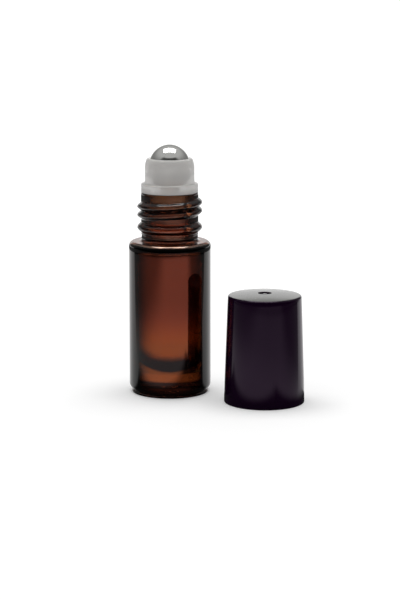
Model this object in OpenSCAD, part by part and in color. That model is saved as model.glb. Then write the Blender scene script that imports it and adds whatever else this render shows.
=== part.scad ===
// Roll-on bottle: an amber glass bottle with a threaded neck, a plastic housing that holds a steel
// ball in the neck, and a screw cap that is taken off and stands beside the bottle, mouth down.
// Millimetres, +Z up. The origin is the centre of the bottle's base, and the cap stands on the +X side.

/* [Glass body] */
// Outer diameter of the glass body
body_d = 20.5; // [18:0.5:28]
// Height of the flat shoulder above the foot
shoulder_z = 38.4; // [30:0.1:70]
// Thickness of the body's glass wall
wall_t = 2; // [1.4:0.1:2.6]
// Thickness of the glass under the inner floor
base_t = 5.6; // [3:0.1:8]
// Radius of the rounded shoulder corner
shoulder_r = 1.2; // [0.8:0.1:2]
// Radius of the rounded heel above the groove
heel_r = 1.8; // [1.2:0.1:2.2]
// Radius between the inner floor and the inner wall
floor_r = 1.8; // [1:0.1:2.4]

/* [Foot ring] */
// How far the foot ring lies inside the body's side
foot_inset = 0.6; // [0.4:0.05:0.9]
// Height of the foot ring
foot_h = 0.4; // [0.35:0.05:0.8]
// Width of the ring that the bottle stands on
foot_w = 1.3; // [0.8:0.1:2]
// Depth of the groove between the foot ring and the heel
groove_t = 0.35; // [0.1:0.05:0.5]
// Height of the hollow under the base
push_up = 0.6; // [0.3:0.1:1]

/* [Neck] */
// Outer diameter of the neck under the thread
neck_d = 14.3; // [13.2:0.1:15]
// Height of the neck from the shoulder to the lip
neck_h = 12.25; // [11.5:0.05:16]
// Thickness of the neck's glass wall
neck_t = 2.25; // [1.8:0.05:2.6]
// Radius between the shoulder and the neck
neck_fillet = 0.8; // [0.4:0.1:1]
// Height of the closed bead above the shoulder
bead_h = 3.5; // [3:0.1:4]
// Width of the closed bead at its foot
bead_w = 2; // [1.4:0.1:2.2]

/* [Thread] */
// Rise of the thread in one turn
thread_pitch = 2.1; // [1.9:0.05:2.5]
// Height of the thread and of the bead above the neck
thread_t = 0.95; // [0.7:0.05:1.2]
// Width of the thread at its foot
thread_w = 1.7; // [1.2:0.1:1.8]
// Turns of thread on the glass neck
thread_turns = 1.75; // [1.25:0.25:2]
// Height of the thread's start above the shoulder
thread_start_h = 6.3; // [6:0.1:7]
// Turns of thread inside the cap
cap_turns = 1.25; // [1:0.25:1.5]
// Width of the cap's thread at its foot
cap_thread_w = 0.9; // [0.6:0.1:1]
// Radial clearance between the cap's thread and the neck
thread_gap = 0.2; // [0.1:0.05:0.3]

/* [Ball and housing] */
// Diameter of the steel ball
ball_d = 10.3; // [9.6:0.1:10.6]
// Radial play of the ball in its socket
ball_play = 0.06; // [0.04:0.01:0.1]
// Height that the socket closes over the ball above its centre
grip_h = 1.7; // [1.3:0.1:2.2]
// Wall of the housing at the ball's widest place
dome_t = 0.98; // [0.8:0.02:1.1]
// Width of the rim round the ball
rim_w = 0.8; // [0.5:0.05:0.9]
// Height of the ball's lowest point above the glass lip
seat_h = 1.5; // [1.4:0.1:3]
// Thickness of the web under the ball
web_t = 1.2; // [0.8:0.1:1.4]
// Diameter of the feed hole under the ball
feed_d = 4; // [3:0.1:5]
// Least height of the feed hole between the cone's foot and the web's underside
feed_h = 0.5; // [0.3:0.1:0.5]
// How far the cone under the ball leans from upright, in degrees
seat_lean = 38; // [32:1:42]
// Height of the collar that stands on the glass lip
collar_h = 2.2; // [1.5:0.05:3.5]
// How far the collar stays inside the neck's side
collar_in = 0.05; // [0:0.05:0.3]
// Length of the plug inside the neck
plug_l = 7.6; // [6:0.1:9]
// Wall of the plug
plug_t = 1.15; // [0.9:0.05:1.3]
// Height of the plug's sealing ribs
rib_t = 0.22; // [0.12:0.02:0.4]
// Number of sealing ribs on the plug
rib_n = 3; // [2:1:4]
// Radial clearance of the ribs in the neck
rib_gap = 0.03; // [0.02:0.01:0.08]

/* [Cap] */
// Wall of the cap at its mouth
cap_t = 1.65; // [1.3:0.05:2.4]
// How much smaller the cap's radius is at the top
cap_taper = 0.9; // [0.4:0.05:1.2]
// Thickness of the cap's top in its middle, without the gate recess
cap_top_t = 2.1; // [1.8:0.1:2.6]
// Gap between the closed cap's mouth and the shoulder
cap_mouth_gap = 0.25; // [0.15:0.05:0.6]
// Gap between the ball and the top of the closed cap
ball_gap = 1.3; // [0.3:0.1:2]
// Radial clearance round the collar in the closed cap
collar_gap = 0.4; // [0.3:0.05:0.6]
// Radius of the cap's edge at its mouth
cap_edge_r = 0.3; // [0.2:0.05:0.5]
// Radius of the cap's edge round its top
cap_top_edge_r = 0.5; // [0.3:0.1:0.8]
// How much the cap's top rises to its middle
crown_h = 0.5; // [0.2:0.1:0.8]
// Wall of the sealing ring inside the cap's top
seal_t = 0.6; // [0.5:0.05:0.8]
// Gap between the sealing ring and the housing's rim
seal_gap = 0.12; // [0.1:0.01:0.3]
// Diameter of the gate recess on the cap's top
gate_d = 3.3; // [2:0.1:5]
// Depth of the gate recess
gate_t = 0.5; // [0.3:0.1:0.8]
// Diameter of the gate mark in the recess
gate_mark_d = 1.3; // [0.8:0.1:1.8]
// Space between the bottle and the cap that stands beside it
cap_away = 6.05; // [3:0.05:30]

/* [Hidden] */
$fn = 96;

// Glass: radii and heights that follow from the sizes above
body_r = body_d / 2;
cavity_r = body_r - wall_t;
neck_r = neck_d / 2;
bore_r = neck_r - neck_t;
lip_z = shoulder_z + neck_h;
bead_z = shoulder_z + bead_h;
lip_edge_r = 0.3;
foot_r = body_r - foot_inset;
foot_edge_r = 0.25;
groove_h = 0.4;
groove_r = foot_r - groove_t;
heel_z = foot_h + groove_h;
foot_in_r = foot_r - foot_w;
cavity_top_z = shoulder_z - wall_t;
inner_step = cavity_r - bore_r;
inner_shoulder_r = 0.5 * inner_step;
throat_r = 0.3 * inner_step;

// Thread: the ridge runs up to the right, as on any ordinary screw neck. thread_from is the direction
// where it starts, ridge_fade the stretch over which it swells, both in degrees, and ridge_root is how
// deep its foot lies in the wall. end_swell is what is left of its swell at its ends, inside the wall
thread_r = neck_r + thread_t;
thread_z = shoulder_z + thread_start_h;
thread_from = 157;
ridge_fade = 30;
ridge_root = 0.15;
end_swell = 0.06;
ridge_steps = 48;
crest_steps = 6;

// Housing
socket_r = ball_d / 2 + ball_play;
ball_z = lip_z + seat_h + socket_r;
rim_z = ball_z + grip_h;
rim_r = sqrt(socket_r * socket_r - grip_h * grip_h);
dome_r = socket_r + dome_t;
dome_curve_r = 4;
rim_edge_r = 0.35;
rim_out_r = rim_r + rim_w;
collar_r = neck_r - collar_in;
collar_z = lip_z + collar_h;
collar_edge_r = 0.3;
rib_r = bore_r - rib_gap;
plug_r = rib_r - rib_t;
plug_bore_r = plug_r - plug_t;
plug_z = lip_z - plug_l;
plug_lead = 0.5;
rib_w = 0.9;
cone_r = socket_r * cos(seat_lean);
cone_foot_z = ball_z - socket_r * sin(seat_lean) - (cone_r - feed_d / 2) / tan(seat_lean);
web_z = min(lip_z + seat_h - web_t, cone_foot_z - feed_h);

// Cap, in its own place: z 0 is its mouth, and closed_z is where the mouth lies when it is screwed on
closed_z = shoulder_z + cap_mouth_gap;
cap_bore_r = thread_r + thread_gap;
cap_r = cap_bore_r + cap_t;
cap_top_r = cap_r - cap_taper;
cap_upper_r = collar_r + collar_gap;
cap_ledge_z = lip_z - closed_z;
cap_ceiling_z = ball_z + ball_d / 2 + ball_gap - closed_z;
cap_h = cap_ceiling_z + cap_top_t;
cap_x = body_r + cap_away + cap_r;
mouth_lead = 0.3;
seal_ball_gap = 0.2;
seal_in_r = rim_r + seal_ball_gap;
seal_z = rim_z + seal_gap - closed_z;
crown_w = cap_top_r - cap_top_edge_r;
crown_r = (crown_w * crown_w + crown_h * crown_h) / (2 * crown_h);
crown_lean = asin(crown_w / (crown_r - cap_top_edge_r));
cap_edge_z = cap_h - crown_r + (crown_r - cap_top_edge_r) * cos(crown_lean);
gate_floor_z = cap_h - gate_t;
gate_mark_h = 0.35;
cap_thread_lag = 20;

// Points of an arc, from angle a0 to angle a1, round a centre
function arc(cr, cz, r, a0, a1, n = 8) =
    [for (i = [0 : n]) let (a = a0 + (a1 - a0) * i / n) [cr + r * cos(a), cz + r * sin(a)]];

// Half outline of a rounded bump of height t and foot width w on a side of radius r
function bump(r, z, w, t, n = 10) =
    [for (i = [0 : n]) let (u = 2 * i / n - 1) [r + t * (1 - u * u), z + w / 2 * u]];

// Swell of a ridge along its length: end_swell at its ends, full after ridge_fade degrees
function ridge_swell(turned, sweep) =
    let (near = min(turned, sweep - turned) / ridge_fade)
    near >= 1 ? 1 : max(end_swell, sin(90 * near));

// One cross-section of a helical ridge. side is 1 on a neck and -1 in a bore, and the last two points
// lie inside the wall that carries it
function ridge_ring(r, side, height, width, swell, angle, z) =
    let (
        crest = bump(-ridge_root, 0, width, (height + ridge_root) * swell, crest_steps),
        root = [[-3 * ridge_root, width / 2], [-3 * ridge_root, -width / 2]]
    )
    [for (p = concat(crest, root))
        [(r + side * p[0]) * cos(angle), (r + side * p[0]) * sin(angle), z + p[1]]];

// A helical ridge: height and width are its section, pitch its rise in a turn
module ridge(r, side, height, width, pitch, from_angle, from_z, turns) {
    sweep = 360 * turns;
    rings = ceil(ridge_steps * turns);
    section = crest_steps + 3;
    points = [for (i = [0 : rings]) let (turned = sweep * i / rings)
        each ridge_ring(r, side, height, width, ridge_swell(turned, sweep),
            from_angle + turned, from_z + pitch * turned / 360)];
    sides = [for (i = [0 : rings - 1], j = [0 : section - 1]) let (
            a = i * section + j,
            b = i * section + (j + 1) % section,
            c = a + section,
            d = b + section)
        each (side > 0 ? [[a, b, d], [a, d, c]] : [[a, d, b], [a, c, d]])];
    first = [for (j = [0 : section - 1]) side > 0 ? section - 1 - j : j];
    last = [for (j = [0 : section - 1]) rings * section + (side > 0 ? j : section - 1 - j)];
    polyhedron(points, concat(sides, [first, last]), convexity = 6);
}

// The bottle's outline in half section, up the outside and down the inside
module glass_outline() {
    heel_in = body_r - heel_r;
    heel_turn = acos((groove_r - heel_in) / heel_r);
    polygon(concat(
        [[0, push_up]],
        arc(foot_in_r - push_up, 0, push_up, 90, 0, 5),
        arc(foot_r - foot_edge_r, foot_edge_r, foot_edge_r, -90, 0, 4),
        [[foot_r, foot_h]],
        arc(heel_in, heel_z + heel_r * sin(heel_turn), heel_r, -heel_turn, 0, 6),
        arc(body_r - shoulder_r, shoulder_z - shoulder_r, shoulder_r, 0, 90),
        arc(neck_r + neck_fillet, shoulder_z + neck_fillet, neck_fillet, 270, 180, 5),
        bump(neck_r, bead_z, bead_w, thread_t),
        arc(neck_r - lip_edge_r, lip_z - lip_edge_r, lip_edge_r, 0, 90, 4),
        arc(bore_r + lip_edge_r, lip_z - lip_edge_r, lip_edge_r, 90, 180, 4),
        arc(bore_r + throat_r, cavity_top_z + throat_r, throat_r, 180, 270, 5),
        arc(cavity_r - inner_shoulder_r, cavity_top_z - inner_shoulder_r, inner_shoulder_r, 90, 0, 6),
        arc(cavity_r - floor_r, base_t + floor_r, floor_r, 0, -90, 6),
        [[0, base_t]]
    ));
}

// Glass bottle, one casting with its bead and its right-hand thread
module glass_bottle() {
    color([0.36, 0.17, 0.08, 0.75]) union() {
        rotate_extrude() glass_outline();
        ridge(neck_r, 1, thread_t, thread_w, thread_pitch, thread_from, thread_z, thread_turns);
    }
}

// The housing's outline in half section: plug with its ribs, collar and dome, and inside them the
// socket, which is part of a sphere down to the cone that the ball rests on
module housing_outline() {
    rib_space = (plug_l - plug_lead) / (rib_n + 1);
    dome_turn = acos((dome_curve_r - rim_edge_r - dome_r + rim_out_r) / (dome_curve_r - rim_edge_r));
    polygon(concat(
        [[plug_bore_r, plug_z], [plug_r - plug_lead, plug_z], [plug_r, plug_z + plug_lead]],
        [for (i = [1 : rib_n]) each bump(plug_r, plug_z + plug_lead + rib_space * i, rib_w, rib_t, 6)],
        [[plug_r, lip_z], [collar_r, lip_z]],
        arc(collar_r - collar_edge_r, collar_z - collar_edge_r, collar_edge_r, 0, 90, 4),
        [[dome_r, collar_z]],
        arc(dome_r - dome_curve_r, rim_z - rim_edge_r - (dome_curve_r - rim_edge_r) * sin(dome_turn),
            dome_curve_r, 0, dome_turn, 6),
        arc(rim_out_r - rim_edge_r, rim_z - rim_edge_r, rim_edge_r, dome_turn + 15, 90, 3),
        arc(0, ball_z, socket_r, asin(grip_h / socket_r), -seat_lean, 16),
        [[feed_d / 2, cone_foot_z], [feed_d / 2, web_z], [plug_bore_r, web_z]]
    ));
}

// Ball housing: it plugs the neck, stands on the lip and grips the ball above its middle
module ball_housing() {
    color([0.88, 0.87, 0.84, 0.85]) rotate_extrude() housing_outline();
}

// Steel ball, centred in its socket
module roller_ball() {
    color([0.75, 0.76, 0.78]) translate([0, 0, ball_z]) sphere(d = ball_d);
}

// The cap's outline in half section, mouth down
module cap_outline() {
    lean = atan(cap_taper / cap_h);
    polygon(concat(
        [[cap_bore_r + mouth_lead, 0]],
        arc(cap_r - cap_edge_r, cap_edge_r, cap_edge_r, -90, lean, 4),
        arc(crown_w, cap_edge_z, cap_top_edge_r, lean, 90 - crown_lean, 5),
        arc(0, cap_h - crown_r, crown_r, 91 - crown_lean, acos(gate_d / 2 / crown_r), 5),
        [[gate_d / 2, gate_floor_z], [gate_mark_d / 2, gate_floor_z]],
        [[gate_mark_d / 2, gate_floor_z + gate_mark_h], [0, gate_floor_z + gate_mark_h]],
        [[0, cap_ceiling_z], [seal_in_r, cap_ceiling_z], [seal_in_r, seal_z]],
        [[seal_in_r + seal_t, seal_z], [seal_in_r + seal_t, cap_ceiling_z], [cap_upper_r, cap_ceiling_z]],
        [[cap_upper_r, cap_ledge_z], [cap_bore_r, cap_ledge_z], [cap_bore_r, mouth_lead]]
    ));
}

// Screw cap, mouth down on the surface that the bottle stands on. Its thread lies half a pitch
// under the neck's when it is screwed on
module screw_cap() {
    lag_z = thread_pitch * (cap_thread_lag / 360 - 1 / 2);
    color([0.05, 0.045, 0.05]) translate([cap_x, 0, 0]) union() {
        rotate_extrude() cap_outline();
        ridge(cap_bore_r, -1, thread_t, cap_thread_w, thread_pitch, thread_from + cap_thread_lag,
            thread_z - closed_z + lag_z, cap_turns);
    }
}

glass_bottle();
ball_housing();
roller_ball();
screw_cap();
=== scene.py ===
# %% [markdown]
# # A roll-on bottle
# An amber glass bottle with a steel ball in a plastic housing, and its black screw cap standing beside it.
# The construction model gives the frame: what is where, and how big. This script makes the pieces that
# show, with the roundings, the blended thread and the finishes that glass and moulded plastic have.

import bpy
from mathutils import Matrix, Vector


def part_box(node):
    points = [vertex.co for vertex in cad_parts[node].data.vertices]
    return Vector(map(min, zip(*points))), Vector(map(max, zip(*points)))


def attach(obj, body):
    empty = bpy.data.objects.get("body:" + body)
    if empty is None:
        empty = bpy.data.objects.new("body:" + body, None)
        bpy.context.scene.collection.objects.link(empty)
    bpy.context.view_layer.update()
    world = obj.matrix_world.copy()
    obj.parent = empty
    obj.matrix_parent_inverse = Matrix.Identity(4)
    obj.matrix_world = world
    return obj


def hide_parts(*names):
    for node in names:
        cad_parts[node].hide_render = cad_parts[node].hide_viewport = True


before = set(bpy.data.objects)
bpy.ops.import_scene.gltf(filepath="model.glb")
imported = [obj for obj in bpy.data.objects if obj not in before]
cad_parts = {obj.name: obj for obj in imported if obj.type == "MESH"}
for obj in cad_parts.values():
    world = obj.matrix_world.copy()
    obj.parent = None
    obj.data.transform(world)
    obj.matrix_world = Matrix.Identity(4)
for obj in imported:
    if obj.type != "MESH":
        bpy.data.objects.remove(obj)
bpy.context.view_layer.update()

# %% [markdown]
# ## Sizes
# Every piece here is round, so a box tells most of its size. The boxes of the construction model are read
# once, and the shapes are worked out in millimetres after that, because a wall of 2 is easier to read than
# one of 0.002. Each finished mesh is brought to metres at the end.

# %% Sizes read from the frame
import math

import bmesh
import bpy
from mathutils import Vector

MM = 0.001


def span(node):
    """Half the width, the middle along X, and the lowest and highest point of a node, in millimetres."""
    low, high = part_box(node)
    half_width = (high.y - low.y) / 2 / MM
    return half_width, (high.x + low.x) / 2 / MM, low.z / MM, high.z / MM


body_r, _, _, lip_z = span("glass_bottle")
collar_r, _, plug_z, rim_z = span("ball_housing")
ball_r, _, _, ball_top_z = span("roller_ball")
cap_r, cap_x, _, cap_h = span("screw_cap")
ball_z = ball_top_z - ball_r
print(f"body {2 * body_r:.1f} wide, lip at {lip_z:.1f}, ball {2 * ball_r:.1f} wide at {ball_z:.2f}")
print(f"cap {2 * cap_r:.1f} wide and {cap_h:.1f} tall, {cap_x:.2f} from the bottle's axis")

# %% [markdown]
# ## Turning an outline
# A bottle, a housing and a cap are all turned shapes: one outline, spun round an axis. The outline could be
# typed in as dozens of points, but then no rounding could be changed later. Here it has only its corners,
# each with how far its rounding reaches. A vertex bevel rounds them, long edges are cut into short ones,
# and a spin does the rest. The short edges keep smooth shading from smearing across a flat wall.

# %% Helpers that turn an outline into a mesh
# Steps in each rounding, the gap in millimetres within which two vertices are one, and the turn in degrees
# past which an edge is shaded sharp
ROUND_STEPS = 8
MERGE = 0.0002
SHARP = 50


def turned(corners, around, step):
    """A mesh in millimetres, spun from corners of (radius, height, reach of the rounding).

    step(radius, height) gives the longest edge that the outline may have there.
    """
    mesh = bmesh.new()
    made = [mesh.verts.new((radius, 0, height)) for radius, height, _ in corners]
    mesh.faces.new(made)
    for corner, (_, _, reach) in zip(made, corners):
        if reach:
            bmesh.ops.bevel(mesh, geom=[corner], offset=reach, segments=ROUND_STEPS, profile=0.5,
                            affect="VERTICES", material=-1)
    bmesh.ops.delete(mesh, geom=mesh.faces[:], context="FACES_ONLY")
    on_axis = [edge for edge in mesh.edges if max(v.co.x for v in edge.verts) < MERGE]
    bmesh.ops.delete(mesh, geom=on_axis, context="EDGES")
    for edge in mesh.edges[:]:
        middle = (edge.verts[0].co + edge.verts[1].co) / 2
        cuts = math.ceil(edge.calc_length() / step(middle.x, middle.z)) - 1
        if cuts > 0:
            bmesh.ops.subdivide_edges(mesh, edges=[edge], cuts=cuts)
    bmesh.ops.spin(mesh, geom=mesh.verts[:] + mesh.edges[:], cent=(0, 0, 0), axis=(0, 0, 1),
                   angle=2 * math.pi, steps=around, use_merge=True)
    bmesh.ops.remove_doubles(mesh, verts=mesh.verts, dist=MERGE)
    bmesh.ops.recalc_face_normals(mesh, faces=mesh.faces)
    return mesh


def finished(mesh, name, body, node, x=0.0):
    """Brings a mesh to metres, puts it in place, ties the object to its body and hides the node it replaces.
    """
    bmesh.ops.translate(mesh, verts=mesh.verts, vec=(x, 0, 0))
    bmesh.ops.scale(mesh, verts=mesh.verts, vec=(MM, MM, MM))
    data = bpy.data.meshes.new(name)
    mesh.to_mesh(data)
    mesh.free()
    data.shade_smooth()
    data.set_sharp_from_angle(angle=math.radians(SHARP))
    piece = bpy.data.objects.new(name, data)
    bpy.context.scene.collection.objects.link(piece)
    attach(piece, body)
    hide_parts(node)
    triangles = sum(len(face.vertices) - 2 for face in data.polygons)
    print(f"{name}: {len(data.polygons)} faces, or {triangles} triangles")
    return piece


# %% [markdown]
# ## Threads and beads
# The thread on the glass and the one inside the cap are rounded ridges that grow out of the wall, with soft
# feet. A ridge made as a body of its own would leave a hidden surface inside the glass, and glass shows
# it. So the ridges are raised out of the turned wall instead: the wall has fine rings there, and each
# vertex moves out by the ridge's height at its angle and level.

# %% Helpers that raise ridges
# The thread climbs PITCH millimetres in a turn, and swells over FADE degrees at each end
PITCH = 2.1
FADE = 30.0
CREST_BLUNT = 1.3
FOOT_SOFT = 1.3


def hump(distance, reach):
    """1 on a ridge's crest and 0 from reach on, with a blunt top, steep flanks and soft feet."""
    away = min(1, abs(distance) / reach)
    return math.cos(math.pi / 2 * away ** CREST_BLUNT) ** FOOT_SOFT


def helix_height(angle, z, start_angle, start_z, turns, reach):
    """How high a right-hand thread stands at an angle in degrees and a level, as a share of its height."""
    height = 0.0
    turned_by = (angle - start_angle) % 360
    while turned_by <= 360 * turns:
        near_end = min(turned_by, 360 * turns - turned_by) / FADE
        swell = math.sin(math.radians(90 * min(1, near_end)))
        level = start_z + PITCH * turned_by / 360
        height = max(height, swell * hump(z - level, reach))
        turned_by += 360
    return height


def raise_wall(mesh, belongs, height):
    """Moves each vertex that belongs(radius, z) out by height(angle in degrees, z), in millimetres."""
    for vertex in mesh.verts:
        radius = math.hypot(vertex.co.x, vertex.co.y)
        if belongs(radius, vertex.co.z):
            angle = math.degrees(math.atan2(vertex.co.y, vertex.co.x))
            grown = (radius + height(angle, vertex.co.z)) / radius
            vertex.co.x *= grown
            vertex.co.y *= grown


# %% [markdown]
# ## The glass bottle
# One casting of amber glass: a straight body with a thick base, a foot ring with a groove above it, a flat
# shoulder, and a neck with a closed bead and a thread of a turn and three quarters. Outside and inside are
# one closed skin, so that light bends at both. A moulded bottle also shows where its mould came apart:
# a fine line up two sides, where the thread is pressed a little flat.

# %% The glass bottle
wall_t = 2
base_t = 5.6
shoulder_z = 38.4
neck_r = 7.15
neck_low_r = 7.03
neck_lean = 0.03
neck_straight_h = 5
bore_r = 4.9
cavity_r = body_r - wall_t
cavity_top_z = shoulder_z - wall_t
foot_r = body_r - 0.6
foot_in_r = foot_r - 1.3
groove_r = foot_r - 0.35
foot_h = 0.4
heel_z = 0.8
heel_h = 0.51
push_up = 0.6
push_up_lean = 0.6
centre_bow = 0.25
bead_z = 41.9
bead_reach = 1.28
parting_z = 40.1
parting_h = 0.12

glass_corners = [
    (0, push_up + centre_bow, 0),
    (foot_in_r - push_up_lean, push_up, 0.8),
    (foot_in_r, 0, 0.22),
    (foot_r, 0, 0.25),
    (foot_r, foot_h, 0.08),
    (groove_r, heel_z, 0.08),
    (body_r, heel_z + heel_h, 0.98),
    (body_r, shoulder_z, 1.2),
    (neck_low_r, shoulder_z, 0.8),
    (neck_low_r, parting_z, 0.04),
    (neck_r - neck_lean, parting_z + parting_h, 0.04),
    (neck_r, lip_z - neck_straight_h, 0),
    (neck_r, lip_z, 0.42),
    (bore_r, lip_z, 0.3),
    (bore_r, cavity_top_z, 0.96),
    (cavity_r, cavity_top_z, 1.6),
    (cavity_r, base_t, 1.8),
    (0, base_t - centre_bow, 0),
]
thread_edge = 0.13
plain_edge = 1.2


def glass_step(radius, z):
    """Short edges under the thread and the bead, long ones elsewhere."""
    on_thread = radius > neck_r - 0.5 and bead_z - 1.5 < z < lip_z - 0.3 and radius < neck_r + 0.1
    return thread_edge if on_thread else plain_edge


thread_t = 0.95
thread_z = 44.7
thread_from = 157
thread_turns = 1.75
thread_reach = 1.05
ridges_top_z = lip_z - 0.4
seam_angle = 149.5
seam_t = 0.035
seam_spread = 1.2
flat_share = 0.22
flat_spread = 4.5


def near_seam(angle, spread):
    """1 on either side's mould line, fading over spread degrees."""
    off = (angle - seam_angle + 90) % 180 - 90
    return math.exp(-(off / spread) ** 2)


def glass_ridges(angle, z):
    """Height of the thread or the bead, pressed flatter where the mould came apart."""
    flattened = 1 - flat_share * near_seam(angle, flat_spread)
    thread = helix_height(angle, z, thread_from, thread_z, thread_turns, thread_reach)
    bead = hump(z - bead_z, bead_reach)
    return thread_t * flattened * max(thread, bead)


def seam_ridge(angle, z):
    """Height of the mould's line, the same at every level."""
    return seam_t * near_seam(angle, seam_spread)


glass = turned(glass_corners, around=240, step=glass_step)
raise_wall(glass, lambda r, z: abs(r - neck_r) < 0.2 and parting_z < z < ridges_top_z, glass_ridges)
raise_wall(glass, lambda r, z: r > neck_low_r - 0.1 and shoulder_z < z < ridges_top_z, seam_ridge)
amber_bottle = finished(glass, "amber_bottle", "bottle", "glass_bottle")

# %% [markdown]
# ## The ball housing
# One moulding of natural, milky plastic. The plug with its sealing ribs sits in the glass neck, the collar
# stands on the lip, and the dome closes over the ball above its middle, so that the ball can roll but not
# come out. Under the ball the socket runs into a cone, so that the ball seals on a line. It is turned too,
# with the socket as an arc of its outline, a little wider than the ball.

# %% The ball housing
ball_play = 0.06
socket_r = ball_r + ball_play
rim_grip = rim_z - ball_z
rim_r = math.sqrt(socket_r ** 2 - rim_grip ** 2)
dome_t = 0.98
dome_r = socket_r + dome_t
dome_lean = 0.61
dome_lean_h = 1.1
collar_z = lip_z + 2.2
web_z = lip_z + 0.3
feed_r = 2.0
plug_r = 4.65
plug_bore_r = 3.5
plug_tip = 0.5
rib_t = 0.22
rib_reach = 0.45
rib_gap = 1.775
rib_levels = [plug_z + plug_tip + rib_gap * number for number in (1, 2, 3)]


def socket_arc(from_z, to_z, steps):
    """Corners along the socket's wall, between two levels."""
    first = math.asin((from_z - ball_z) / socket_r)
    last = math.asin((to_z - ball_z) / socket_r)
    angles = [first + (last - first) * number / steps for number in range(steps + 1)]
    return [(socket_r * math.cos(a), ball_z + socket_r * math.sin(a), 0) for a in angles]


seat_lean = math.radians(38)
cone_r = socket_r * math.cos(seat_lean)
cone_z = ball_z - socket_r * math.sin(seat_lean)
seat_z = cone_z - (cone_r - feed_r) / math.tan(seat_lean)
housing_corners = [
    (plug_bore_r, plug_z, 0.12),
    (plug_r - plug_tip, plug_z, 0.12),
    (plug_r, plug_z + plug_tip, 0.1),
    (plug_r, lip_z, 0.05),
    (collar_r, lip_z, 0.08),
    (collar_r, collar_z, 0.3),
    (dome_r, collar_z, 0.18),
    (dome_r, rim_z - dome_lean_h, 1.0),
    (dome_r - dome_lean, rim_z, 0.2),
] + socket_arc(rim_z, cone_z, steps=30) + [
    (feed_r, seat_z, 0.05),
    (feed_r, web_z, 0.1),
    (plug_bore_r, web_z, 0.3),
]
rib_edge = 0.12
housing_edge = 0.4


def housing_step(radius, z):
    """Short edges under the ribs of the plug, longer ones elsewhere."""
    return rib_edge if z < lip_z and radius > plug_r - 0.1 else housing_edge


def rib_heights(angle, z):
    """Height of the plug's ribs, the same all round."""
    return rib_t * max(hump(z - level, rib_reach) for level in rib_levels)


housing = turned(housing_corners, around=160, step=housing_step)
raise_wall(housing, lambda r, z: r > plug_r - 0.05 and plug_z + 0.8 < z < lip_z - 0.3, rib_heights)
frosted_housing = finished(housing, "frosted_housing", "fitment", "ball_housing")

# %% [markdown]
# ## The roller ball
# A ground and polished bearing ball. A UV sphere has poles where its faces crowd together, and a mirror
# finish shows them, so it starts as an icosphere, whose faces are nearly alike.

# %% The roller ball
ball = bmesh.new()
bmesh.ops.create_icosphere(ball, subdivisions=6, radius=ball_r)
bmesh.ops.translate(ball, verts=ball.verts, vec=(0, 0, ball_z))
steel_ball = finished(ball, "steel_ball", "ball", "roller_ball")

# %% [markdown]
# ## The screw cap
# One moulding of black plastic, stood mouth down. Its side tapers so that it leaves the mould, and the gate
# where the plastic came in sits in a small recess on top. Inside are a wider bore with the thread, a ledge,
# and the thin ring that presses round the housing's rim and seals the bottle.

# %% The screw cap
cap_bore_r = thread_t + neck_r + 0.2
cap_upper_r = collar_r + 0.4
mouth_t = 0.3
closed_z = shoulder_z + 0.25
cap_ledge_z = lip_z - closed_z
cap_ceiling_z = ball_top_z + 1.3 - closed_z
seal_r = rim_r + 0.2
seal_z = rim_z + 0.12 - closed_z
seal_t = 0.6
gate_r = 1.65
gate_t = 0.5
gate_lean = 0.15
gate_mark_r = 0.65
gate_mark_lean = 0.1
gate_mark_z = cap_h - 0.15
gate_bow = 0.03
crown_r = 73.35
top_r = cap_r - 0.885
belly_r = cap_r - 0.36
belly_z = 15


def crown_z(radius):
    """Level of the cap's top, which falls away from its middle along a large arc."""
    return cap_h - (radius ** 2 - gate_r ** 2) / (2 * crown_r)


cap_corners = [
    (cap_bore_r + mouth_t, 0, 0.06),
    (cap_r, 0, 0.3),
    (belly_r, belly_z, 9),
    (top_r, crown_z(top_r), 0.43),
] + [(radius, crown_z(radius), 0) for radius in (8, 7, 6, 5, 4, 3)] + [
    (gate_r, cap_h, 0.12),
    (gate_r - gate_lean, cap_h - gate_t, 0.12),
    (gate_mark_r, cap_h - gate_t, 0.08),
    (gate_mark_r - gate_mark_lean, gate_mark_z, 0.12),
    (0, gate_mark_z + gate_bow, 0),
    (0, cap_ceiling_z, 0),
    (seal_r, cap_ceiling_z, 0.15),
    (seal_r, seal_z, 0.15),
    (seal_r + seal_t, seal_z, 0.15),
    (seal_r + seal_t, cap_ceiling_z, 0.15),
    (cap_upper_r, cap_ceiling_z, 0.25),
    (cap_upper_r, cap_ledge_z, 0.1),
    (cap_bore_r, cap_ledge_z, 0.2),
    (cap_bore_r, mouth_t, 0.1),
]
cap_thread_edge = 0.2
cap_thread_low_z = 1
cap_turns = 1.25
cap_reach = 0.55
lag = 20
cap_thread_z = thread_z - closed_z + PITCH * (lag / 360 - 0.5)


def cap_ridges(angle, z):
    """Height of the cap's thread, which grows inwards and lags behind the one on the neck."""
    return -thread_t * helix_height(angle, z, thread_from + lag, cap_thread_z, cap_turns, cap_reach)


def cap_step(radius, z):
    """Short edges under the thread in the bore, long ones elsewhere."""
    on_thread = cap_bore_r - 0.1 < radius < cap_bore_r + 0.1 and cap_thread_low_z < z < cap_ledge_z
    return cap_thread_edge if on_thread else plain_edge


def in_bore(radius, z):
    """Tells whether a point is on the wall that carries the cap's thread."""
    return abs(radius - cap_bore_r) < 0.05 and cap_thread_low_z < z < cap_ledge_z - 0.3


cap = turned(cap_corners, around=180, step=cap_step)
raise_wall(cap, in_bore, cap_ridges)
black_cap = finished(cap, "black_cap", "cap", "screw_cap", x=cap_x)

# %% [markdown]
# ## Working with shader nodes
# A material is a tree of small nodes. Adding each one by hand takes four lines, so a few helpers do it: one
# adds a node, one feeds a socket with a number or with another node's output, and the rest are the sums,
# ramps and mixes that nearly every finish needs.

# %% Helpers for nodes


def feed(tree, socket, value):
    """Gives an input socket a number or colour, or links another node's output to it."""
    if isinstance(value, bpy.types.NodeSocket):
        tree.links.new(value, socket)
    else:
        socket.default_value = value


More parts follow.
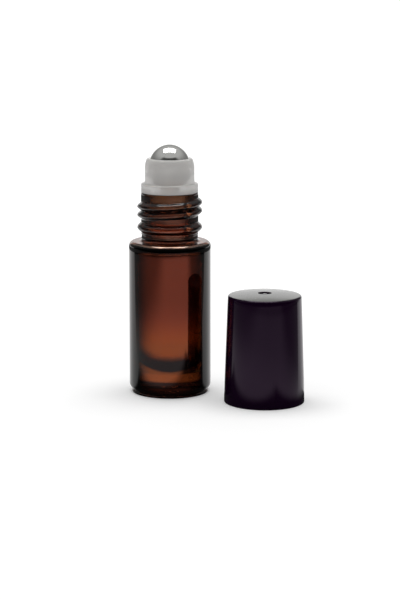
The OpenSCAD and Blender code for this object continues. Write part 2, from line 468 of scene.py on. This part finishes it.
def add(tree, kind, inputs=None, **settings):
    """A new node, with its settings and its named or numbered input sockets filled in."""
    made = tree.nodes.new("ShaderNode" + kind)
    for label, value in settings.items():
        setattr(made, label, value)
    for label, value in (inputs or {}).items():
        feed(tree, made.inputs[label], value)
    return made


def compute(tree, operation, *values):
    """One sum, such as MULTIPLY or MAXIMUM, of numbers or outputs."""
    return add(tree, "Math", dict(enumerate(values)), operation=operation).outputs[0]


def times(tree, product, *others):
    """All the numbers or outputs multiplied together."""
    for value in others:
        product = compute(tree, "MULTIPLY", product, value)
    return product


def ramp(tree, value, start, end, low=0.0, high=1.0):
    """Goes softly from low to high while the value goes from start to end."""
    inputs = {"Value": value, "From Min": start, "From Max": end, "To Min": low, "To Max": high}
    return add(tree, "MapRange", inputs, interpolation_type="SMOOTHSTEP").outputs[0]


# A Mix node has sockets for numbers, vectors and colours. These are the ones that colours use
FACTOR_IN = 0
COLOURS_IN = (6, 7)
COLOUR_OUT = 2


def mix_colours(tree, share, first, second):
    """The first colour where share is 0 and the second where it is 1."""
    mixer = add(tree, "Mix", data_type="RGBA")
    feed(tree, mixer.inputs[FACTOR_IN], share)
    for number, value in zip(COLOURS_IN, (first, second)):
        feed(tree, mixer.inputs[number], value)
    return mixer.outputs[COLOUR_OUT]


def grey(level):
    """A colour without any hue, from 0 for black to 1 for white."""
    return (level, level, level, 1)


def along_z(tree, vector):
    """The part of a vector's output that points along Z."""
    return add(tree, "SeparateXYZ", {0: vector}).outputs["Z"]


def height_in(tree):
    """How high the shaded point is, in metres."""
    return along_z(tree, add(tree, "TexCoord").outputs["Object"])


def facing_up(tree):
    """1 where the surface faces straight up, and 0 where it is upright."""
    return along_z(tree, add(tree, "NewGeometry").outputs["Normal"])


def sent_on(tree, path):
    """1 for rays that come off a mirroring surface or out of a clear piece, and 0 for the rest."""
    return compute(tree, "MAXIMUM", path["Is Glossy Ray"], path["Is Transmission Ray"])


# %% [markdown]
# ## Surface effects that several finishes share
# Glass, steel and moulded plastic are smooth, but never perfectly: a mould leaves slow waves, handling leaves
# hair-fine rubs, and dust settles on what faces up. Each effect is one node group with its own inputs, built
# once and set differently in each finish. The groups put out only heights and masks. Image textures could do
# this as well, but noise in the piece's own coordinates needs no unwrapping and stays sharp at any distance.

# %% Node groups


def new_group(name, inputs, output):
    """A node group with named numbers going in, with their defaults, and one number coming out."""
    group = bpy.data.node_groups.new(name, "ShaderNodeTree")
    for label, default in inputs.items():
        socket = group.interface.new_socket(label, in_out="INPUT", socket_type="NodeSocketFloat")
        socket.default_value = default
    group.interface.new_socket(output, in_out="OUTPUT", socket_type="NodeSocketFloat")
    return group, group.nodes.new("NodeGroupInput").outputs, group.nodes.new("NodeGroupOutput").inputs[0]


def stretched_noise(group, scale, stretch, detail, spin=0.0):
    """Noise in the piece's own coordinates, drawn out along Z where stretch is below 1."""
    place = add(group, "TexCoord").outputs["Object"]
    sizes = add(group, "CombineXYZ", {"X": 1.0, "Y": 1.0, "Z": stretch}).outputs[0]
    mapped = add(group, "Mapping", {"Vector": place, "Rotation": (spin, spin, 0), "Scale": sizes}).outputs[0]
    return add(group, "TexNoise", {"Vector": mapped, "Scale": scale, "Detail": detail}).outputs[0]


waves, given, result = new_group("mould waves", {"Scale": 100.0, "Stretch": 1.0}, "Height")
feed(waves, result, stretched_noise(waves, given["Scale"], given["Stretch"], 1.5))

rub_stretch = 0.06
rub_detail = 2.0
rubs, given, result = new_group("fine rubs", {"Scale": 900.0, "Amount": 0.5}, "Mask")
crossed = compute(rubs, "MAXIMUM",
                  stretched_noise(rubs, given["Scale"], rub_stretch, rub_detail, spin=0.5),
                  stretched_noise(rubs, given["Scale"], rub_stretch, rub_detail, spin=-0.9))
hairlines = ramp(rubs, crossed, 0.62, 0.78)
feed(rubs, result, times(rubs, hairlines, given["Amount"]))

dust, given, result = new_group("settled dust", {"Scale": 2500.0, "Amount": 0.5}, "Mask")
where_level = ramp(dust, facing_up(dust), 0.2, 0.9)
specks = ramp(dust, stretched_noise(dust, given["Scale"], 1.0, 3.0), 0.60, 0.72)
feed(dust, result, times(dust, specks, where_level, given["Amount"]))


def effect(tree, group, **values):
    """Places one of the groups in a material and gives its output."""
    placed = add(tree, "Group", node_tree=group)
    for label, value in values.items():
        placed.inputs[label].default_value = value
    return placed.outputs[0]


print("node groups:", ", ".join(group.name for group in bpy.data.node_groups))

# %% [markdown]
# ## Starting a material
# Every finish here is one Principled shader with its own values, so that it also leaves Blender in one piece.
# Values that are the same all over go straight on the shader. Only what changes over the surface is linked.

# %% Helpers for materials


def new_material(name, **values):
    """A material with one Principled shader, whose plain values are given by name."""
    made = bpy.data.materials.new(name)
    made.use_nodes = True
    tree = made.node_tree
    tree.nodes.clear()
    shader = add(tree, "BsdfPrincipled")
    for label, value in values.items():
        shader.inputs[label.replace("_", " ").title().replace("Ior", "IOR")].default_value = value
    add(tree, "OutputMaterial", {"Surface": shader.outputs[0]})
    return made, tree, shader.inputs


def bumped(tree, shader, height, depth):
    """Bends the shader's normals by a height map of that depth, in metres."""
    bump = add(tree, "Bump", {"Height": height, "Distance": depth, "Strength": 1.0})
    feed(tree, shader["Normal"], bump.outputs[0])


def dress(piece, *finishes, choose=lambda radius, z: 0):
    """Gives a piece its materials. choose(radius, z), in millimetres, tells which one each face takes."""
    for finish in finishes:
        piece.data.materials.append(finish)
    for face in piece.data.polygons:
        x, y, z = face.center / MM
        face.material_index = choose(math.hypot(x, y), z)
    print(piece.name, "wears", ", ".join(finish.name for finish in finishes))


# %% [markdown]
# ## Amber glass
# The real glass is so deeply coloured that the body looks nearly black where nothing bright is mirrored in
# it, and brown where the floor is. Its thick base gathers light and glows orange, with a dark curve over it.
# A volume would give the depth of colour by path length, but it would also blacken that base. So the colour
# sits on the skin: light is tinted each time it crosses. It changes with height, in bands, and most bands are
# painted light and shade. There is painted shade on the foot, a painted orange glow over the thick base with
# a painted dark curve above it, and a painted lighter band low on the body. On the shoulder's rounding a
# painted dark band lies under a painted highlight. On the neck the bands paint it lighter at its foot and
# towards the lip. Round the thick base the bands bend up at the sides, as they do in a lens. The skin goes
# nearly black where it is seen edge on, as a longer way through the glass does, but not on the level top of
# the shoulder.
# That top is left lighter as painted light, where the light from above falls. A small metallic share tints
# what the skin mirrors.

# %% The outer skin of the glass
# Colours from the foot up, each with the levels, in metres, between which it takes over
# Painted shade: near black at the heel and the foot
foot_painted_shade = (0.03, 0.006, 0.003, 1)
body_bands_with_painted_light = [
    # Painted glow over the thick base
    (0.0040, 0.0047, (0.48, 0.10, 0.010, 1)),
    # Painted dark curve over the base
    (0.0063, 0.0071, (0.012, 0.003, 0.004, 1)),
    # Painted light: a lighter band low on the body
    (0.0090, 0.0118, (0.60, 0.115, 0.012, 1)),
    # The body's own amber
    (0.0120, 0.0220, (0.53, 0.075, 0.02, 1)),
    # Painted shade: a black band under the shoulder's rounding
    (0.0358, 0.0368, (0, 0, 0, 1)),
    # Painted highlight on the shoulder's rounding
    (0.0378, 0.0380, (0.55, 0.40, 0.33, 1)),
    # Painted shade on the shoulder's level top, which keeps light from coming through it
    (0.0382, 0.0383, (0.30, 0.09, 0.04, 1)),
]
# Painted light: lighter at the foot of the neck
neck_foot_painted_light = (0.62, 0.24, 0.12, 1)
neck_bands_with_painted_light = [
    # The neck's own amber, between the bead and the thread
    (0.0400, 0.0415, (0.46, 0.13, 0.05, 1)),
    # Painted light: lighter and browner towards the lip
    (0.0440, 0.0495, (0.50, 0.20, 0.08, 1)),
]
lens_rise = 0.006
edge_from = 0.08
glass_roughness = 0.02


def polished(tree, **rubbing):
    """The roughness of glass: nearly none, and a little more on its fine rubs."""
    return compute(tree, "ADD", effect(tree, rubs, **rubbing), glass_roughness)


def outer_glass(name, first, bands, edge_on, edge_facing, **values):
    """Glass whose colour changes with height, and which is edge_on once Facing reaches edge_facing."""
    made, tree, shader = new_material(name, transmission_weight=1.0, **values)
    height = height_in(tree)
    facing = add(tree, "LayerWeight", {"Blend": 0.5}).outputs["Facing"]
    near_base = times(tree, ramp(tree, height, 0.020, 0.014), ramp(tree, height, 0.0045, 0.0065))
    level = compute(tree, "SUBTRACT", height, times(tree, facing, lens_rise, near_base))
    colour = first
    for start, end, next_colour in bands:
        colour = mix_colours(tree, ramp(tree, level, start, end), colour, next_colour)
    # Painted light: the level top of the shoulder is spared the edge darkening, so it stays lighter where
    # light falls
    level_top = times(tree, ramp(tree, facing_up(tree), 0.5, 0.75), ramp(tree, height, 0.0400, 0.0395))
    not_level = compute(tree, "SUBTRACT", 1.0, level_top)
    darkened = times(tree, ramp(tree, facing, edge_from, edge_facing), not_level)
    feed(tree, shader["Base Color"], mix_colours(tree, darkened, colour, edge_on))
    feed(tree, shader["Roughness"], polished(tree, Scale=700.0, Amount=0.05))
    bumped(tree, shader, effect(tree, waves, Scale=140.0, Stretch=0.3), depth=0.00002)
    return made


amber = outer_glass("amber glass", foot_painted_shade, body_bands_with_painted_light, edge_on=(0.0002, 0.0001, 0.0001, 1),
                    edge_facing=0.38, metallic=0.3, ior=1.38)
thread_amber = outer_glass("amber neck glass", neck_foot_painted_light, neck_bands_with_painted_light, edge_on=(0.003, 0.001, 0.001, 1),
                           edge_facing=0.30, metallic=0.16, ior=1.50)

# %% [markdown]
# ## The inside of the glass
# The inner skin has no metallic share: what it mirrors has crossed the outer skin, so it is tinted already.
# In the body it is nearly black, with a painted glow that makes it a little lighter low down, next to the
# base, and painted shade that makes it black on the cavity floor. In the neck it is painted lighter towards
# the lip, where the white plug shows through.

# %% The inner skins of the glass
GLASS_INDEX = 1.45
wall_dark = (0.015, 0.01, 0.01, 1)
# Painted glow: lighter low on the body's inside
wall_low_painted_glow = (0.20, 0.12, 0.06, 1)
# Painted shade: black on the cavity floor
cavity_floor_painted_shade = (0.01, 0.005, 0.008, 1)
bore_low = (0.40, 0.18, 0.12, 1)
# Painted light: lighter towards the lip
bore_top_painted_light = (0.8, 0.6, 0.4, 1)

deep_amber, tree, shader = new_material("deep amber glass", transmission_weight=1.0, ior=GLASS_INDEX)
height = height_in(tree)
wall_colour = mix_colours(tree, ramp(tree, height, 0.022, 0.008), wall_dark, wall_low_painted_glow)
on_floor = ramp(tree, height, 0.0072, 0.0062)
feed(tree, shader["Base Color"], mix_colours(tree, on_floor, wall_colour, cavity_floor_painted_shade))
feed(tree, shader["Roughness"], polished(tree, Scale=400.0, Amount=0.02))
bumped(tree, shader, effect(tree, waves, Scale=260.0, Stretch=0.5), depth=0.00003)

neck_amber, tree, shader = new_material("amber bore glass", transmission_weight=1.0, ior=GLASS_INDEX)
up_the_bore = ramp(tree, height_in(tree), 0.046, 0.0495)
feed(tree, shader["Base Color"], mix_colours(tree, up_the_bore, bore_low, bore_top_painted_light))
feed(tree, shader["Roughness"], polished(tree, Scale=400.0, Amount=0.02))

SKIN = 0.1
bore_low_z = cavity_top_z + 1
outer_neck_z = shoulder_z + 0.3


def glass_side(radius, z):
    """0 and 3 for the outer skin of body and neck, 1 and 2 for the inside of body and neck."""
    if z > bore_low_z and radius < bore_r + SKIN:
        return 2
    if z > outer_neck_z:
        return 3
    return 1 if base_t - 0.5 < z <= bore_low_z and radius < cavity_r + SKIN else 0


dress(amber_bottle, amber, deep_amber, neck_amber, thread_amber, choose=glass_side)

# %% [markdown]
# ## Natural plastic
# The housing is unfilled plastic in its natural colour: milky, with a shadow of what is inside. Subsurface
# scattering would make it solid white. Rough transmission takes a little over half of the light through the
# wall instead, blurred, and the rest gives the chalky white of the collar. A low index keeps its shine weak.

# %% The housing's plastic
milky_white = (0.99, 0.975, 0.955, 1)
milky, tree, shader = new_material("natural plastic", transmission_weight=0.56, ior=1.34)
dusty = effect(tree, dust, Scale=1500.0, Amount=0.04)
feed(tree, shader["Base Color"], mix_colours(tree, dusty, milky_white, grey(0.7)))
uneven = effect(tree, waves, Scale=500.0, Stretch=1.0)
feed(tree, shader["Roughness"], ramp(tree, uneven, 0.3, 0.7, low=0.28, high=0.32))
bumped(tree, shader, effect(tree, waves, Scale=300.0, Stretch=1.0), depth=0.000006)
dress(frosted_housing, milky)

# %% [markdown]
# ## Polished steel
# A bearing ball is a mirror, but one that has rolled in its socket: hair-fine rubs blur what it mirrors by a
# little. They go into the roughness and the colour, because a bump that fine would only flicker.

# %% The ball's steel
bright_steel = (0.88, 0.88, 0.85, 1)
rubbed_steel = (0.76, 0.76, 0.73, 1)
steel, tree, shader = new_material("polished steel", metallic=1.0)
worn = effect(tree, rubs, Scale=1100.0, Amount=1.0)
feed(tree, shader["Base Color"], mix_colours(tree, worn, bright_steel, rubbed_steel))
feed(tree, shader["Roughness"], ramp(tree, worn, 0.0, 1.0, low=0.09, high=0.18))
bumped(tree, shader, effect(tree, waves, Scale=350.0, Stretch=1.0), depth=0.000004)
dress(steel_ball, steel)

# %% [markdown]
# ## Black plastic
# The cap is glossy moulded plastic, black with a breath of violet, which its tinted shine gives. What makes
# it read as plastic is its mirror image of the floor, a little softened and bent by the mould's waves. Its
# flat
# top gets a painted sheen: a light grey that stands in for the bright floor it mirrors there, broken up by
# specks of dust. Rays that another surface mirrors don't see that painted sheen, so the cap's top stays dark
# in the glass and in the ball.

# %% The cap's plastic
black_violet = (0.006, 0.0006, 0.008, 1)
# Painted sheen: a light grey on the flat top that stands in for the bright floor mirrored there
painted_top_sheen = (0.19, 0.195, 0.18, 1)
violet_shine = (0.95, 0.7, 0.98, 1)
black, tree, shader = new_material("black plastic", ior=1.33, specular_tint=violet_shine)
specks = effect(tree, dust, Scale=1800.0, Amount=0.25)
on_top = ramp(tree, facing_up(tree), 0.95, 0.99)
patchy = ramp(tree, specks, 0.0, 0.2, low=0.85, high=1.0)
not_mirrored = compute(tree, "SUBTRACT", 1.0, add(tree, "LightPath").outputs["Is Glossy Ray"])
# Painted sheen on the flat top, broken up by the dust specks and kept out of mirrored rays
painted_sheen_share = times(tree, on_top, patchy, not_mirrored)
gloss = mix_colours(tree, specks, black_violet, grey(0.25))
feed(tree, shader["Base Color"], mix_colours(tree, painted_sheen_share, gloss, painted_top_sheen))
scuffed = compute(tree, "ADD", effect(tree, rubs, Scale=500.0, Amount=0.10), specks)
feed(tree, shader["Roughness"], compute(tree, "ADD", scuffed, 0.10))
bumped(tree, shader, effect(tree, waves, Scale=110.0, Stretch=0.35), depth=0.00004)
dress(black_cap, black)

# %% [markdown]
# ## The camera
# The camera stands where the photographer's did: about half a metre away, 27 degrees round to the cap's side
# and 11 degrees up. The long lens keeps the bottle's sides straight.

# %% Camera
# The distance and the point looked at are in millimetres
camera_azimuth = math.radians(26.8)
camera_elevation = math.radians(10.82)
camera_distance = 500
camera_target = Vector((14.88, -12.72, 26.68))
towards = Vector((math.sin(camera_azimuth), -math.cos(camera_azimuth), 0))
back = towards * math.cos(camera_elevation) + Vector((0, 0, math.sin(camera_elevation)))
camera = bpy.data.objects.new("camera", bpy.data.cameras.new("camera"))
camera.data.lens = 123.8
camera.data.sensor_width = 36
camera.data.clip_start = 0.01
camera.data.clip_end = 100
camera.location = (camera_target + back * camera_distance) * MM
camera.rotation_euler = back.to_track_quat("Z", "Y").to_euler()
bpy.context.scene.collection.objects.link(camera)
bpy.context.scene.camera = camera
print("camera at", [round(value, 3) for value in camera.location])

# %% [markdown]
# ## The floor
# A plain pale floor that keeps the object's soft shadow. The camera sees it lifted towards white, and so do
# rays that have come through the glass or the plastic. A floor that really shone would light the object
# from below, so the lift is told by the Light Path node and no extra light falls on the object.

# %% Floor
FLOOR_HALF = 8
floor_mesh = bmesh.new()
bmesh.ops.create_grid(floor_mesh, x_segments=1, y_segments=1, size=FLOOR_HALF)
floor_data = bpy.data.meshes.new("floor")
floor_mesh.to_mesh(floor_data)
floor_mesh.free()
floor = bpy.data.objects.new("floor", floor_data)
bpy.context.scene.collection.objects.link(floor)

pale, tree, shader = new_material("pale floor", roughness=0.9, specular_ior_level=0.0)
path = add(tree, "LightPath").outputs
place = add(tree, "TexCoord").outputs["Object"]


def floor_distance(x, y):
    """How far a place on the floor is from a point that is given in millimetres, in metres."""
    point = Vector((x, y, 0)) * MM
    return add(tree, "VectorMath", {0: place, 1: point}, operation="DISTANCE").outputs["Value"]


# %% [markdown]
# ## What mirrors see of the floor
# Dark glass and black plastic show what they mirror more than their own colour, so an evenly white floor
# would make them grey all over. Rays that a surface mirrors meet another floor, told from the bottle's axis
# and the camera's side. In front lie two pools of light, with a dark ring between them and darkness past the
# second. At the objects' feet is a painted shadow: a dark zone with a slanted front edge. Behind, the floor
# is white, with one dim band across it. Cards round the object could do the same, but each would change its
# light as well.

# %% The floor's mirror image
# Where each change starts and where it ends, in metres
near_pool_fades = (0.05, 0.15)
near_pool_ends = (0.226, 0.216)
far_pool_starts = (0.237, 0.245)
far_pool_ends = (0.39, 0.35)
left_brightens = (-0.14, -0.02)
right_brightens = (0.10, 0.0)
band_starts = (0.242, 0.228)
band_ends = (0.36, 0.40)
white_starts = (0.030, 0.020)
white_middle = 0.0115
white_half_width = 0.0195
white_slope = 0.62
# A painted shadow at the objects' feet, seen by mirrored rays
feet_shadow_front = (0.0190, 0.0340)
feet_shadow_slope = 0.497
feet_shadow_back = (0.004, 0.0)
feet_shadow_left = (-0.020, -0.055)
feet_shadow_right = (0.036, 0.050)


def along(tree, vector, direction):
    """How far a place lies in one direction, or the cosine between two directions."""
    return add(tree, "VectorMath", {0: vector, 1: direction}, operation="DOT_PRODUCT").outputs["Value"]


nearer = along(tree, place, towards)
rightward = along(tree, place, Vector((-towards.y, towards.x, 0)))
away = floor_distance(0, 0)

dimmer_out = ramp(tree, away, *near_pool_fades, low=0.95, high=0.62)
near_pool = times(tree, dimmer_out, ramp(tree, away, *near_pool_ends))
far_pool = times(tree, ramp(tree, away, *far_pool_starts, high=0.42), ramp(tree, away, *far_pool_ends))
from_left = ramp(tree, rightward, *left_brightens, low=0.4)
from_right = ramp(tree, compute(tree, "SUBTRACT", rightward, nearer), *right_brightens, low=0.3)
pools = times(tree, compute(tree, "ADD", near_pool, far_pool), from_left, from_right)

off_middle = compute(tree, "ABSOLUTE", compute(tree, "SUBTRACT", rightward, white_middle))
past_side = compute(tree, "MAXIMUM", compute(tree, "SUBTRACT", off_middle, white_half_width), 0)
white_line = compute(tree, "ADD", nearer, times(tree, past_side, white_slope))
band = compute(tree, "MAXIMUM", ramp(tree, away, *band_starts), ramp(tree, away, *band_ends, low=0.08))
behind = times(tree, ramp(tree, white_line, *white_starts), band)

# Painted shadow at the objects' feet: dark behind a slanted front edge, open to the back and the sides
slanted = compute(tree, "SUBTRACT", nearer, times(tree, rightward, feet_shadow_slope))
beside = compute(tree, "MAXIMUM", ramp(tree, rightward, *feet_shadow_left), ramp(tree, rightward, *feet_shadow_right))
outside = compute(tree, "MAXIMUM", ramp(tree, nearer, *feet_shadow_back), beside)
clear_of_feet_shadow = compute(tree, "MAXIMUM", ramp(tree, slanted, *feet_shadow_front, low=0.05), outside)
mirror_image = times(tree, compute(tree, "MAXIMUM", pools, behind), clear_of_feet_shadow)

# %% [markdown]
# ## Finishing the floor
# Mirrored rays get the mirror image and all others get 1, which leaves the floor as it is. The lift is
# smaller near the objects, so that their shadow stays.

# %% The floor's colour and lift
lift_reach = (-0.05, 0.5)
by_mirror = times(tree, path["Is Glossy Ray"], compute(tree, "SUBTRACT", mirror_image, 1.0))
shade = compute(tree, "ADD", by_mirror, 1.0)
feed(tree, shader["Base Color"], mix_colours(tree, shade, grey(0.0), grey(0.8)))
seen = compute(tree, "MAXIMUM", sent_on(tree, path), path["Is Camera Ray"])
lift = ramp(tree, floor_distance(cap_x / 2, 0), *lift_reach, low=0.22, high=0.76)
shader["Emission Color"].default_value = grey(1)
feed(tree, shader["Emission Strength"], times(tree, lift, shade, seen))
dress(floor, pale)

# %% [markdown]
# ## The room
# The camera sees a white room, and the object gets an even soft light from it. Rays that come off a mirroring
# surface or out of the glass meet a simple studio instead, told by direction alone: white low behind, and
# elsewhere a grey that lightens upwards. For mirrored rays it is also dark in front, where the camera stands,
# and low down on all sides but the back.

# %% World
# Where each change starts and ends: the sides as cosines towards the camera, the tops as cosines upwards
backdrop_side = (-0.84, -0.92)
backdrop_top = (0.42, 0.30)
front_side = (0.35, 0.60)
front_top = (0.74, 0.66)
low_side = (-0.45, -0.25)
low_top = (0.36, 0.24)
sky_rise = (0.3, 0.8)
world = bpy.data.worlds.new("studio")
world.use_nodes = True
bpy.context.scene.world = world
tree = world.node_tree
tree.nodes.clear()
path = add(tree, "LightPath").outputs
direction = add(tree, "TexCoord").outputs["Generated"]
facing = along(tree, direction, towards)
level = along_z(tree, direction)
backdrop = times(tree, ramp(tree, level, *backdrop_top), ramp(tree, facing, *backdrop_side))
dark_front = times(tree, ramp(tree, facing, *front_side), ramp(tree, level, *front_top))
dark_low = times(tree, ramp(tree, facing, *low_side), ramp(tree, level, *low_top))
dark = times(tree, compute(tree, "MAXIMUM", dark_front, dark_low), path["Is Glossy Ray"])
sky = mix_colours(tree, ramp(tree, level, *sky_rise), grey(0.2), grey(0.42))
room = mix_colours(tree, dark, mix_colours(tree, backdrop, sky, grey(1.0)), grey(0.05))
shown = mix_colours(tree, sent_on(tree, path), grey(0.5), room)
colour = mix_colours(tree, path["Is Camera Ray"], shown, grey(1.0))
add(tree, "OutputWorld", {"Surface": add(tree, "Background", {"Color": colour}).outputs[0]})
print("world:", len(tree.nodes), "nodes")

# %% [markdown]
# ## The softbox
# One large lamp above and a little behind gives the soft shadow and the white patch on the ball. On a level
# surface it gives about as much light as the room does, and the two together light a colour about as it is
# written.

# %% Overhead softbox
lamp_above = 350
lamp_behind = 50
lamp_data = bpy.data.lights.new("softbox", "AREA")
lamp_data.shape = "RECTANGLE"
lamp_data.size = 0.30
lamp_data.size_y = 0.18
lamp_data.energy = 0.95
lamp = bpy.data.objects.new("softbox", lamp_data)
lamp.location = (Vector((0, 0, ball_z + lamp_above)) - towards * lamp_behind) * MM
lamp.rotation_euler = (0, 0, camera_azimuth)
bpy.context.scene.collection.objects.link(lamp)
bpy.context.scene.view_settings.view_transform = "Standard"
print("softbox", lamp_data.size, "by", lamp_data.size_y, "m at", [round(value, 3) for value in lamp.location])
